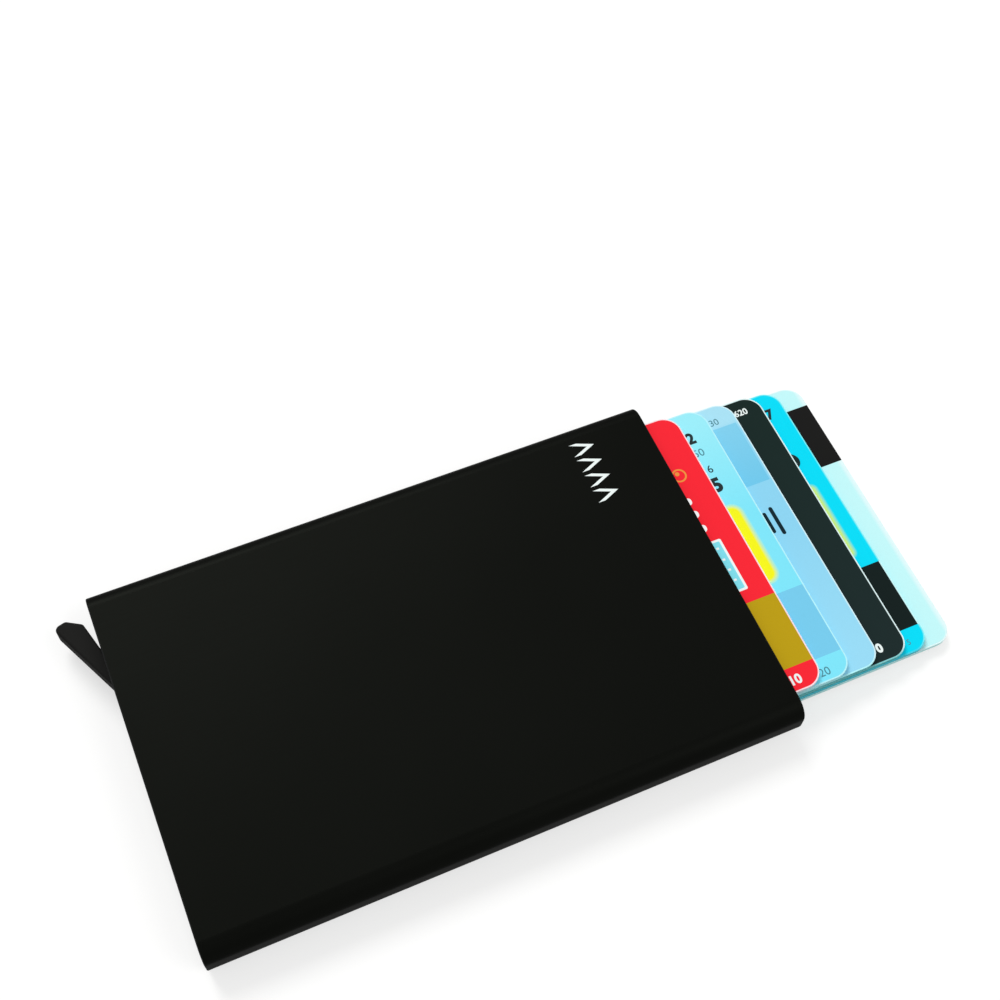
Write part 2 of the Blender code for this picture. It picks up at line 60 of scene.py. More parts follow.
camera = bpy.data.objects.new("view_camera", bpy.data.cameras.new("view_camera"))
scene.collection.objects.link(camera)
scene.camera = camera
camera.data.sensor_width = view_sensor
camera.data.lens = view_lens
camera.data.clip_start = view_nearest
view_turn = (
    Matrix.Rotation(view_azimuth, 4, "Z")
    @ Matrix.Rotation(math.pi / 2 - view_elevation, 4, "X")
    @ Matrix.Rotation(view_roll, 4, "Z")
)
camera.matrix_world = Matrix.Translation(view_aim + view_turn.col[2].xyz * view_distance) @ view_turn


# Floor and light
# A white studio sweep under a pale sky, with one large soft light from the far left and a weaker one
# from the right. What the lens and the glossy finishes see of the sweep is kept at plain white.
class Wire:
    """One output socket of a node tree. Python's operators on it add Math nodes."""

    def __init__(self, tree, socket=None):
        self.tree = tree
        self.socket = socket

    def node(self, kind, settings=None, sockets=None, out=0):
        """Adds a node: its settings first, then its sockets, from values or wires. Gives one output."""
        made = self.tree.nodes.new(kind)
        for key, value in (settings or {}).items():
            setattr(made, key, value)
        for key, value in (sockets or {}).items():
            wires = value if isinstance(value, list) else [value]
            if isinstance(wires[0], Wire):
                for wire in wires:
                    self.tree.links.new(wire.socket, made.inputs[key])
            else:
                made.inputs[key].default_value = value
        return Wire(self.tree, made.outputs[out])

    def also(self, out):
        """Another output of the same node."""
        return Wire(self.tree, self.socket.node.outputs[out])

    def maths(self, operation, *others):
        """A Math node on this wire and the others."""
        return self.node("ShaderNodeMath", {"operation": operation}, dict(enumerate((self, *others))))

    def __add__(self, other):
        return self.maths("ADD", other)

    def __sub__(self, other):
        return self.maths("SUBTRACT", other)

    def __mul__(self, other):
        return self.maths("MULTIPLY", other)

    def __truediv__(self, other):
        return self.maths("DIVIDE", other)

    def __rsub__(self, other):
        return self.node("ShaderNodeMath", {"operation": "SUBTRACT"}, {0: other, 1: self})

    def __rtruediv__(self, other):
        return self.node("ShaderNodeMath", {"operation": "DIVIDE"}, {0: other, 1: self})

    __radd__ = __add__
    __rmul__ = __mul__

    def rising(self, low, high):
        """0 below low, 1 above high, straight between."""
        return self.node("ShaderNodeMapRange", {"clamp": True}, {"Value": self, 1: low, 2: high})

    def colour(self, without, full):
        """A colour that turns from one to the other as this wire goes from 0 to 1."""
        sockets = {0: self, 6: without, 7: full}
        return self.node("ShaderNodeMix", {"data_type": "RGBA"}, sockets, out=2)

    def feed(self, socket):
        """Links this wire to a socket of a finished node."""
        self.tree.links.new(self.socket, socket)


def seen_rays(tree):
    """1 for what is looked at, straight, in a gloss or through something, and 0 for light that falls."""
    kinds = ("Is Camera Ray", "Is Glossy Ray", "Is Transmission Ray")
    seen, glossed, through = [Wire(tree).node("ShaderNodeLightPath", out=kind) for kind in kinds]
    return seen + glossed + through


def srgb(red, green, blue):
    """A colour as it is read off a screen, turned into the linear values that shaders take."""
    shares = [v / 255 for v in (red, green, blue)]
    return (*[v / 12.92 if v <= 0.04045 else ((v + 0.055) / 1.055) ** 2.4 for v in shares], 1.0)


def soft_light(name, place, spread, strength):
    """A soft light from far off, in the direction of a place, as wide as its spread."""
    light = bpy.data.objects.new(name, bpy.data.lights.new(name, "SUN"))
    scene.collection.objects.link(light)
    light.data.angle = spread
    light.data.energy = strength
    light.rotation_euler = Vector(place).to_track_quat("Z", "Y").to_euler()


floor_half = 6.0
floor_drop = 0.00003
floor_colour = srgb(178, 178, 177)
floor_roughness = 0.9
floor_lift = 0.62
sky_strength = 0.46
white = (1.0, 1.0, 1.0, 1.0)

floor_mesh = bpy.data.meshes.new("floor")
floor_corners = [(-1, -1), (1, -1), (1, 1), (-1, 1)]
floor_mesh.from_pydata(
    [(x * floor_half, y * floor_half, -floor_drop) for x, y in floor_corners], [], [(0, 1, 2, 3)]
)
floor = bpy.data.objects.new("floor", floor_mesh)
scene.collection.objects.link(floor)

floor_material = bpy.data.materials.new("white_sweep")
floor_material.use_nodes = True
floor_shader = floor_material.node_tree.nodes["Principled BSDF"]
floor_shader.inputs["Base Color"].default_value = floor_colour
floor_shader.inputs["Roughness"].default_value = floor_roughness
floor_shader.inputs["Specular IOR Level"].default_value = 0.0
floor_shader.inputs["Emission Color"].default_value = white
(seen_rays(floor_material.node_tree) * floor_lift).feed(floor_shader.inputs["Emission Strength"])
floor_mesh.materials.append(floor_material)

world = bpy.data.worlds.new("studio")
scene.world = world
world.use_nodes = True
sky = world.node_tree.nodes["Background"]
sky.inputs["Color"].default_value = white
(sky_strength + seen_rays(world.node_tree) * (1.0 - sky_strength)).feed(sky.inputs["Strength"])

soft_light("far_light", place=(-0.08, 0.68, 0.73), spread=math.radians(28), strength=1.70)
soft_light("right_light", place=(0.60, -0.45, 0.66), spread=math.radians(40), strength=0.70)


# Sleeve
# One flat tube of extruded aluminium, sawn to length, blasted to a fine satin and anodised black. Both
# rims are rolled soft, and a window in its far wall at the base end lets the lever's tip close flush.
main_wall = 0.0008
side_wall = 0.0010
sleeve_round = 0.0030
rim_round = 0.0002
lip_round = 0.0001
round_steps = 12
rim_steps = 3
window_depth = 0.0052
window_low = 0.0019
window_high = 0.0061
window_round = 0.0009
pocket_low = Vector((-0.0426, 0.0298, 0.0023))
pocket_high = Vector((-0.0394, 0.0306, 0.0057))
cut_overrun = 0.0010
smooth_limit = math.radians(32)
sleeve_low, sleeve_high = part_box("sleeve")

anodised_dark = srgb(12, 13, 11)
anodised_light = srgb(15, 16, 14)
anodised_edge_tint = (0.54, 0.54, 0.54, 1.0)
anodised_roughness = 0.42
cloud_size = 0.030
cloud_haze = 0.03
draw_line_size = 0.0004
draw_line_stretch = (0.02, 1.0, 1.0)
draw_line_haze = 0.05
blast_size = 0.00016
blast_strength = 0.25
blast_depth = 0.000006
# Painted highlight along both rims: a lighter tone within a fraction of a millimetre of each rim.
rim_highlight_tone = srgb(44, 44, 45)
rim_highlight_reach = (0.00022, 0.00006)
rim_highlight_patch_size = 0.0060
rim_highlight_least = 0.5


def rounded(low, high, radius, steps):
    """The points of a rectangle with round corners, anticlockwise."""
    centres = (
        (high[0] - radius, high[1] - radius),
        (low[0] + radius, high[1] - radius),
        (low[0] + radius, low[1] + radius),
        (high[0] - radius, low[1] + radius),
    )
    points = []
    for i, (x, y) in enumerate(centres):
        for j in range(steps + 1):
            angle = math.pi / 2 * (i + j / steps)
            points.append((x + radius * math.cos(angle), y + radius * math.sin(angle)))
    return points


def plain_mesh(piece):
    """What a piece looks like with its modifiers, as a mesh of its own."""
    bpy.context.view_layer.update()
    return bpy.data.meshes.new_from_object(piece.evaluated_get(bpy.context.evaluated_depsgraph_get()))


def new_piece(name, mesh_data, material=None):
    """An object of a finished bmesh, with its faces turned outwards."""
    bmesh.ops.recalc_face_normals(mesh_data, faces=mesh_data.faces)
    mesh = bpy.data.meshes.new(name)
    mesh_data.to_mesh(mesh)
    mesh_data.free()
    made = bpy.data.objects.new(name, mesh)
    scene.collection.objects.link(made)
    if material:
        mesh.materials.append(material)
    return made


def shade(piece):
    """Makes a piece smooth but for its sharp edges, and keeps its flats flat."""
    piece.data.shade_smooth()
    piece.data.set_sharp_from_angle(angle=smooth_limit)
    flats = piece.modifiers.new("flats stay flat", "WEIGHTED_NORMAL")
    flats.keep_sharp = True
    return piece


def lofted(name, rings, closed=False, material=None):
    """A skin over rings of equally many points. It closes on itself, or is capped at both ends."""
    mesh_data = bmesh.new()
    loops = [[mesh_data.verts.new(point) for point in ring] for ring in rings]
    followers = loops[1:] + loops[:1] if closed else loops[1:]
    for one, other in zip(loops, followers):
        for i in range(len(one)):
            mesh_data.faces.new((one[i - 1], one[i], other[i], other[i - 1]))
    if not closed:
        mesh_data.faces.new(loops[0])
        mesh_data.faces.new(loops[-1])
    return new_piece(name, mesh_data, material)


def cut(piece, cutter):
    """Takes the cutter out of the piece, and leaves the piece a plain mesh."""
    step = piece.modifiers.new("cut", "BOOLEAN")
    step.operation = "DIFFERENCE"
    step.solver = "EXACT"
    step.object = cutter
    result = plain_mesh(piece)
    piece.modifiers.clear()
    piece.data = result
    bpy.data.objects.remove(cutter)


def sleeve_ring(x, inset_y, inset_z, radius):
    """One ring of the tube's outline, set in from its outer faces."""
    low = (sleeve_low.y + inset_y, sleeve_low.z + inset_z)
    high = (sleeve_high.y - inset_y, sleeve_high.z - inset_z)
    return [(x, y, z) for y, z in rounded(low, high, radius, round_steps)]


def sleeve_rim(x, inwards):
    """The rings round one rim, from the outer wall over the sawn edge into the bore."""
    angles = [math.pi / 2 * j / rim_steps for j in range(rim_steps + 1)]
    rings = []
    for angle in angles:
        inset = rim_round * (1 - math.cos(angle))
        place = x + inwards * rim_round * (1 - math.sin(angle))
        rings.append(sleeve_ring(place, inset, inset, sleeve_round - inset))
    for angle in angles:
        back = lip_round * (1 - math.sin(angle))
        place = x + inwards * lip_round * (1 - math.cos(angle))
        radius = sleeve_round - side_wall + back
        rings.append(sleeve_ring(place, side_wall - back, main_wall - back, radius))
    return rings


def side_cutter(name, outline, walls):
    """A block with an outline in X and Z, from one place across the sleeve to another."""
    return lofted(name, [[(x, y, z) for x, z in outline] for y in walls])


sleeve_rings = sleeve_rim(sleeve_low.x, 1)[::-1] + sleeve_rim(sleeve_high.x, -1)
sleeve = lofted("anodised_sleeve", sleeve_rings, closed=True)
window = rounded(
    (sleeve_low.x - cut_overrun, window_low),
    (sleeve_low.x + window_depth, window_high),
    window_round,
    round_steps,
)
cut(sleeve, side_cutter("window", window, (sleeve_high.y - sleeve_round, sleeve_high.y + cut_overrun)))
pocket = rounded(pocket_low.xz, pocket_high.xz, lip_round, rim_steps)
for side in (-1, 1):
    cut(sleeve, side_cutter("pocket", pocket, (side * pocket_low.y, side * pocket_high.y)))
shade(sleeve)


def new_material(name, **constants):
    """A Principled material, its constants set on the shader's own sockets, and a wire to draw with."""
    material = bpy.data.materials.new(name)
    material.use_nodes = True
    shader = material.node_tree.nodes["Principled BSDF"]
    for socket, value in constants.items():
        shader.inputs[socket.replace("_", " ")].default_value = value
    return material, shader.inputs, Wire(material.node_tree)


def object_place(start):
    """Where a point of the surface is on its piece."""
    return start.node("ShaderNodeTexCoord", out="Object")


def noise(place, size, detail=2.0, stretch=(1.0, 1.0, 1.0)):
    """Cloudy noise from 0 to 1 with spots of about that size in metres, drawn out along an axis."""
    mapped = place.node("ShaderNodeMapping", {}, {"Vector": place, "Scale": stretch})
    return place.node(
        "ShaderNodeTexNoise", {}, {"Vector": mapped, "Scale": 1.0 / size, "Detail": detail}
    )


def grain(height, strength, depth, sockets):
    """A fine relief on the shader's normal."""
    bump = {"Height": height, "Strength": strength, "Distance": depth}
    height.node("ShaderNodeBump", {}, bump).feed(sockets["Normal"])


def parts(place):
    """The X, Y and Z of a place as three wires."""
    split = place.node("ShaderNodeSeparateXYZ", {}, {0: place})
    return split, split.also("Y"), split.also("Z")


anodised, sockets, start = new_material(
    "black_anodised_aluminium", Metallic=1.0, Specular_Tint=anodised_edge_tint
)
place = object_place(start)
cloud = noise(place, cloud_size)
draw_lines = noise(place, draw_line_size, detail=3.0, stretch=draw_line_stretch)
# Painted highlight: the colour turns lighter close to both rims, stronger in some patches than in others.
rim_highlight = (sleeve_high.x - parts(place)[0].maths("ABSOLUTE")).rising(*rim_highlight_reach)
rim_highlight = rim_highlight * (rim_highlight_least + noise(place, rim_highlight_patch_size) * (1.0 - rim_highlight_least))
rim_highlight.colour(cloud.colour(anodised_dark, anodised_light), rim_highlight_tone).feed(sockets["Base Color"])
(anodised_roughness + cloud * cloud_haze + draw_lines * draw_line_haze).feed(sockets["Roughness"])
grain(noise(place, blast_size), blast_strength, blast_depth, sockets)
sleeve.data.materials.clear()
sleeve.data.materials.append(anodised)
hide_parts("sleeve")
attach(sleeve, "case")


# Direction marks
# Four plain arrowheads screen printed in white on the sleeve's face, near the far corner of the
# mouth. They point the way that the cards come out.
ink_depth = 0.00002
ink_sink = 0.000005
mark_count = 4
mark_start = 0.03445
mark_length = 0.00415
mark_width = 0.0024
mark_first = 0.0259
mark_pitch = 0.00320
mark_stroke = 0.00130
weld_distance = 0.000002
upwards = (0.0, 0.0, 1.0)
ink_roughness = 0.55
ink_gloss = 0.2
ink_mottle_size = 0.0005
ink_grain_strength = 0.2
ink_grain_depth = 0.000005

ink_white, sockets, start = new_material(
    "white_ink", Roughness=ink_roughness, Specular_IOR_Level=ink_gloss
)
mottle = noise(object_place(start), ink_mottle_size)
mottle.colour(srgb(232, 246, 243), srgb(247, 252, 251)).feed(sockets["Base Color"])
grain(mottle, ink_grain_strength, ink_grain_depth, sockets)


class Recipe:
    """A Geometry Nodes tree with named sizes. Whatever it makes ends up as a plain mesh."""

    def __init__(self, name, sizes):
        self.tree = bpy.data.node_groups.new(name, "GeometryNodeTree")
        sockets = self.tree.interface
        sockets.new_socket("Geometry", in_out="INPUT", socket_type="NodeSocketGeometry")
        sockets.new_socket("Geometry", in_out="OUTPUT", socket_type="NodeSocketGeometry")
        finish = sockets.new_socket("Material", in_out="INPUT", socket_type="NodeSocketMaterial")
        self.keys = {"Material": finish.identifier}
        for size, value in sizes.items():
            kind = "NodeSocketFloat" if isinstance(value, float) else "NodeSocketInt"
            socket = sockets.new_socket(size, in_out="INPUT", socket_type=kind)
            socket.default_value = value
            self.keys[size] = socket.identifier
        given = self.tree.nodes.new("NodeGroupInput")
        self.given = {output.name: Wire(self.tree, output) for output in given.outputs}
        self.start = Wire(self.tree)

    def wires(self, *names):
        """The wires of some of the tree's named inputs."""
        return [self.given[name] for name in names]

    def vector(self, *values):
        """A vector of three values or wires."""
        return self.start.node("ShaderNodeCombineXYZ", {}, dict(enumerate(values)))

    def geometry(self, kind, sockets, settings=None):
        """A Geometry Nodes node, by the last part of its type's name."""
        return self.start.node(f"GeometryNode{kind}", settings, sockets)

    def moved(self, geometry, translation):
        """The geometry at another place."""
        return self.geometry("Transform", {"Geometry": geometry, "Translation": translation})

    def welded(self, *shells):
        """Open shells joined into one closed skin."""
        joined = self.geometry("JoinGeometry", {"Geometry": list(shells)})
        return self.geometry("MergeByDistance", {"Geometry": joined, "Distance": weld_distance})

    def finish(self, geometry):
        """Ends the tree: real geometry with the piece's material."""
        solid = self.geometry("RealizeInstances", {"Geometry": geometry})
        finished = self.geometry("SetMaterial", {"Geometry": solid, "Material": self.given["Material"]})
        finished.feed(self.tree.nodes.new("NodeGroupOutput").inputs["Geometry"])

    def make(self, name, material, sizes=None, mesh=None):
        """A piece made by the tree, with some sizes changed by name, round a mesh if it needs one."""
        piece = bpy.data.objects.new(name, mesh or bpy.data.meshes.new(name))
        scene.collection.objects.link(piece)
        steps = piece.modifiers.new(name, "NODES")
        steps.node_group = self.tree
        for size, value in {"Material": material, **(sizes or {})}.items():
            steps[self.keys[size]] = value
        result = plain_mesh(piece)
        result.materials.clear()
        result.materials.append(material)
        result.polygons.foreach_set("material_index", [0] * len(result.polygons))
        piece.modifiers.clear()
        piece.data = result
        return piece


row = Recipe(
    "arrowhead_row",
    {
        "Length": mark_length,
        "Width": mark_width,
        "Stroke": mark_stroke,
        "Pitch": mark_pitch,
        "Marks": mark_count,
    },
)
length, width, stroke = row.wires("Length", "Width", "Stroke")
strip = row.geometry("MeshGrid", {"Size X": stroke, "Size Y": width, "Vertices X": 2, "Vertices Y": 3})
y = parts(row.geometry("InputPosition", {}))[1]
bow = (1.0 - y.maths("ABSOLUTE") * 2.0 / width) * (length - stroke)
bent = row.geometry("SetPosition", {"Geometry": strip, "Offset": row.vector(bow, 0.0, 0.0)})
lift = {"Mesh": bent, "Offset": upwards, "Offset Scale": ink_sink + ink_depth, "Individual": False}
arrowhead = row.welded(row.geometry("FlipFaces", {"Mesh": bent}), row.geometry("ExtrudeMesh", lift))
places = row.geometry(
    "MeshLine",
    {
        "Count": row.given["Marks"],
        "Start Location": (mark_start + mark_stroke / 2, mark_first, sleeve_high.z - ink_sink),
        "Offset": row.vector(0.0, row.given["Pitch"] * -1.0, 0.0),
    },
)
row.finish(row.geometry("InstanceOnPoints", {"Points": places, "Instance": arrowhead}))
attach(row.make("direction_marks", ink_white), "case")


# Base chassis and mechanism cover
# Two black mouldings close the base end round the lever. Both come out of a spark-eroded mould, with
# a fine matte skin and lightly broken edges.
flat_limit = math.radians(0.5)
bevel_limit = math.radians(40)
bevel_steps = 2
moulded_edge = 0.00008
moulded_roughness = 0.48
moulded_gloss = 0.06
mould_cloud_size = 0.012
mould_cloud_share = 0.6
mould_skin_size = 0.00018
mould_skin_haze = 0.12
mould_skin_strength = 0.35
mould_skin_depth = 0.000010


def merged(node):
    """A bmesh of a solid of the frame with its loose triangles merged into flats."""
    mesh_data = bmesh.new()
    mesh_data.from_mesh(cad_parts[node].data)
    bmesh.ops.remove_doubles(mesh_data, verts=mesh_data.verts, dist=weld_distance)
    bmesh.ops.dissolve_limit(
        mesh_data, angle_limit=flat_limit, verts=mesh_data.verts, edges=mesh_data.edges
    )
    return mesh_data


def softened(node, name, edge, material):
    """A copy of a solid of the frame with its outer edges rounded. Its inner corners stay sharp."""
    mesh_data = merged(node)
    bmesh.ops.recalc_face_normals(mesh_data, faces=mesh_data.faces)
    weights = mesh_data.edges.layers.float.new("bevel_weight_edge")
    for line in mesh_data.edges:
        line[weights] = float(line.is_convex and line.calc_face_angle() > bevel_limit)
    piece = new_piece(name, mesh_data, material)
    rounding = piece.modifiers.new("broken edges", "BEVEL")
    rounding.width = edge
    rounding.segments = bevel_steps
    rounding.limit_method = "WEIGHT"
    rounding.use_clamp_overlap = False
    shade(piece)
    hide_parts(node)
    return piece


def moulded(name, dark, light, roughness, gloss=moulded_gloss):
    """Matte moulded plastic with a spark-eroded skin."""
    material, sockets, start = new_material(name, Specular_IOR_Level=gloss)
    place = object_place(start)
    cloud = noise(place, mould_cloud_size)
    skin = noise(place, mould_skin_size, detail=3.0)
    mixed = cloud * mould_cloud_share + skin * (1.0 - mould_cloud_share)
    mixed.colour(dark, light).feed(sockets["Base Color"])
    (roughness + skin * mould_skin_haze).feed(sockets["Roughness"])
    grain(skin, mould_skin_strength, mould_skin_depth, sockets)
    return material


black_moulding = moulded("black_moulding", srgb(20, 20, 20), srgb(29, 29, 29), moulded_roughness)
for node, name in (("base_chassis", "moulded_chassis"), ("mechanism_cover", "moulded_cover")):
    piece = softened(node, name, moulded_edge, black_moulding)
    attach(piece, "case")


# Cover screws and pivot pin
# Three small countersunk screws with a cross recess and a rolled thread hold the cover. A ground
# steel dowel with turned chamfers carries the lever.
screw_nodes = ("cover_screw_near", "cover_screw_middle", "cover_screw_far")
screw_low, screw_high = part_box(screw_nodes[0])
screw_head_depth = 0.0006
screw_sides = 36
shank_radius = 0.00042
thread_depth = 0.00008
thread_pitch = 0.0005
thread_steps = 24
thread_corners = 4
recess_width = 0.00030
recess_reach = 0.00125
recess_depth = 0.00045
pin_chamfer = 0.00015
pin_sides = 48

steel_dark = srgb(132, 134, 138)
steel_light = srgb(160, 162, 166)
steel_roughness = 0.30
turning_size = 0.00012
turning_stretch = (1.0, 1.0, 0.15)
turning_haze = 0.14
turning_strength = 0.15
turning_depth = 0.000004

steel, sockets, start = new_material("bright_steel", Metallic=1.0)
turning = noise(object_place(start), turning_size, detail=3.0, stretch=turning_stretch)
turning.colour(steel_dark, steel_light).feed(sockets["Base Color"])
(steel_roughness + turning * turning_haze).feed(sockets["Roughness"])
grain(turning, turning_strength, turning_depth, sockets)

screw = Recipe(
    "cross_recess_screw",
    {
        "Head Radius": (screw_high.x - screw_low.x) / 2,
        "Head Depth": screw_head_depth,
        "Length": screw_high.z - screw_low.z,
        "Shank Radius": shank_radius,
        "Thread Depth": thread_depth,
        "Thread Pitch": thread_pitch,
    },
)
head_radius, head_depth, length = screw.wires("Head Radius", "Head Depth", "Length")
shank, thread, pitch = screw.wires("Shank Radius", "Thread Depth", "Thread Pitch")
cone = {"Vertices": screw_sides, "Radius Top": head_radius, "Radius Bottom": shank, "Depth": head_depth}
head = screw.moved(screw.geometry("MeshCone", cone), screw.vector(0.0, 0.0, head_depth * -1.0))
shank_length = length - head_depth / 2
core = screw.geometry("MeshCylinder", {"Vertices": screw_sides, "Radius": shank, "Depth": shank_length})
core = screw.moved(core, screw.vector(0.0, 0.0, shank_length / 2 - length))
thread_length = length - head_depth - pitch * 2.0
helix = screw.geometry(
    "CurveSpiral",
    {
        "Resolution": thread_steps,
        "Rotations": thread_length / pitch,
        "Start Radius": shank,
        "End Radius": shank,
        "Height": thread_length,
    },
)
helix = screw.moved(helix, screw.vector(0.0, 0.0, pitch - length))
crest = screw.geometry("CurvePrimitiveCircle", {"Resolution": thread_corners, "Radius": thread})
ridge = screw.geometry("CurveToMesh", {"Curve": helix, "Profile Curve": crest, "Fill Caps": True})
recess = []
for turn in (0.0, math.pi / 2):
    bar = screw.geometry("MeshCube", {"Size": (recess_reach, recess_width, recess_depth * 2)})
    recess.append(screw.geometry("Transform", {"Geometry": bar, "Rotation": (0.0, 0.0, turn)}))
body = screw.geometry(
    "MeshBoolean", {"Mesh 2": [head, core, ridge]}, {"operation": "UNION", "solver": "EXACT"}
)
body = screw.geometry(
    "MeshBoolean", {"Mesh 1": body, "Mesh 2": recess}, {"operation": "DIFFERENCE", "solver": "EXACT"}
)
tops = screw.geometry("MeshToPoints", {"Mesh": screw.given["Geometry"]})
screw.finish(screw.geometry("InstanceOnPoints", {"Points": tops, "Instance": body}))
screw_tops = bpy.data.meshes.new("screw_tops")
places = []
for node in screw_nodes:
    low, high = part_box(node)
    places.append(((low.x + high.x) / 2, (low.y + high.y) / 2, high.z))
screw_tops.from_pydata(places, [], [])
screws = shade(screw.make("cross_recess_screws", steel, mesh=screw_tops))
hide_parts(*screw_nodes)

low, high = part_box("pivot_pin")
middle = (low + high) / 2
pin_radius = (high.x - low.x) / 2
angles = [2 * math.pi * i / pin_sides for i in range(pin_sides)]
rings = []
for height, radius in (
    (low.z, pin_radius - pin_chamfer),
    (low.z + pin_chamfer, pin_radius),
    (high.z - pin_chamfer, pin_radius),
    (high.z, pin_radius - pin_chamfer),
):
    around = [(radius * math.cos(angle), radius * math.sin(angle)) for angle in angles]
    rings.append([(middle.x + x, middle.y + y, height) for x, y in around])
pin = shade(lofted("turned_pin", rings, material=steel))
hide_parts("pivot_pin")
for piece in (screws, pin):
    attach(piece, "case")


# Eject lever
# One grey-black moulding turns on the pin: a finger blade outside the case and an arm with a step
# for every card inside. Its skin is duller than the chassis', and its edges are rounder to the finger.
lever_edge = 0.00015
lever_roughness = 0.50
lever_gloss = 0.006
lever_plastic = moulded("lever_plastic", srgb(31, 31, 30), srgb(37, 37, 36), lever_roughness, lever_gloss)
lever = softened("eject_lever", "moulded_lever", lever_edge, lever_plastic)
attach(lever, "lever")


# Side rails and felt pads
# A plastic rail fills the round of each long edge and guides the cards. Two strips of short grey felt
# sit in each rail and brake them.
rail_edge = 0.00008
rail_roughness = 0.42
felt_dark = srgb(46, 46, 48)
felt_light = srgb(92, 92, 95)
felt_gloss = 0.1
felt_roughness = 0.88
felt_haze = 0.1
felt_grain_size = 0.00012
felt_grain_share = 0.7
felt_grain_stretch = (0.4, 1.0, 1.0)
felt_grain_strength = 0.9
felt_grain_depth = 0.00006
felt_patch_size = 0.0010
pile_length = 0.00011
pile_radius = 0.000022
pile_sides = 3
pile_taper = 0.4
pile_density = 9.0e6
pile_lean = 0.9
pile_spin = 6.2
pile_seed = 7
lean_seed = 3
faced_limit = 0.9

rail_plastic = moulded("rail_plastic", srgb(18, 18, 18), srgb(26, 26, 26), rail_roughness)
felt, sockets, start = new_material("grey_felt", Specular_IOR_Level=felt_gloss)
place = object_place(start)
fibres = noise(place, felt_grain_size, detail=4.0, stretch=felt_grain_stretch)
patches = noise(place, felt_patch_size, detail=3.0)
mixed = fibres * felt_grain_share + patches * (1.0 - felt_grain_share)
mixed.colour(felt_dark, felt_light).feed(sockets["Base Color"])
(felt_roughness + fibres * felt_haze).feed(sockets["Roughness"])
grain(fibres, felt_grain_strength, felt_grain_depth, sockets)

pile = Recipe(
    "felt_pile",
    {
        "Pile": pile_length,
        "Fibre Radius": pile_radius,
        "Density": pile_density,
        "Facing": 1.0,
        "Seed": pile_seed,
    },
)
block, fibre_radius, density, facing, seed = pile.wires(
    "Geometry", "Fibre Radius", "Density", "Facing", "Seed"
)
faced = (parts(pile.geometry("InputNormal", {}))[1] * facing).maths("GREATER_THAN", faced_limit)
roots = pile.geometry(
    "DistributePointsOnFaces", {"Mesh": block, "Selection": faced, "Density": density, "Seed": seed}
)
lean_range = {0: (-pile_lean, -pile_lean, 0.0), 1: (pile_lean, pile_lean, pile_spin), 8: lean_seed}
lean = pile.start.node("FunctionNodeRandomValue", {"data_type": "FLOAT_VECTOR"}, lean_range)
turn = pile.start.node(
    "FunctionNodeRotateRotation",
    {"rotation_space": "LOCAL"},
    {"Rotation": roots.also("Rotation"), "Rotate By": lean},
)
fibre = pile.geometry(
    "MeshCone",
    {
        "Vertices": pile_sides,
        "Radius Bottom": fibre_radius,
        "Radius Top": fibre_radius * pile_taper,
        "Depth": pile.given["Pile"],
    },
)
nap = pile.geometry("InstanceOnPoints", {"Points": roots, "Instance": fibre, "Rotation": turn})
pile.finish(pile.geometry("JoinGeometry", {"Geometry": [block, nap]}))

for side, facing in (("near", 1.0), ("far", -1.0)):
    rail = softened(f"{side}_side_rail", f"{side}_guide_rail", rail_edge, rail_plastic)
    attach(rail, "case")
    for end in ("front", "rear"):
        node = f"{side}_{end}_felt_pad"
        strip = bpy.data.meshes.new(node)
        mesh_data = merged(node)
        mesh_data.to_mesh(strip)
        mesh_data.free()
        pad = pile.make(f"{side}_{end}_felt", felt, {"Facing": facing}, strip)
        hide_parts(node)
        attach(pad, "case")


# Cards
# Six laminated payment-size cards lie back side up: a plastic core between two printed foils, die cut
# so that a fine pale margin shows round the print. Each has its own stripe, panel or plain numerals,
# and the top one stands out least.
card_length = 0.0856
card_width = 0.0540
card_thickness = 0.00076
card_round = 0.0032
card_edge = 0.00008
card_edge_steps = 2
card_margin = 0.00024
bleed_start = 0.0002
bleed_end = 0.0014
print_soft = 0.00005
stripe_near = (-0.0229, -0.0103)
stripe_far = (0.0099, 0.0224)
stripe_overrun = 0.0010
panel_low = -0.0080
panel_end = 0.0640
laminate_gloss = 0.06
laminate_roughness = 0.26
laminate_haze = 0.10
laminate_haze_size = 0.006
side_haze = 0.25
fleck_size = 0.0002
fleck_share = 0.06
fleck_strength = 0.10
fleck_depth = 0.000004


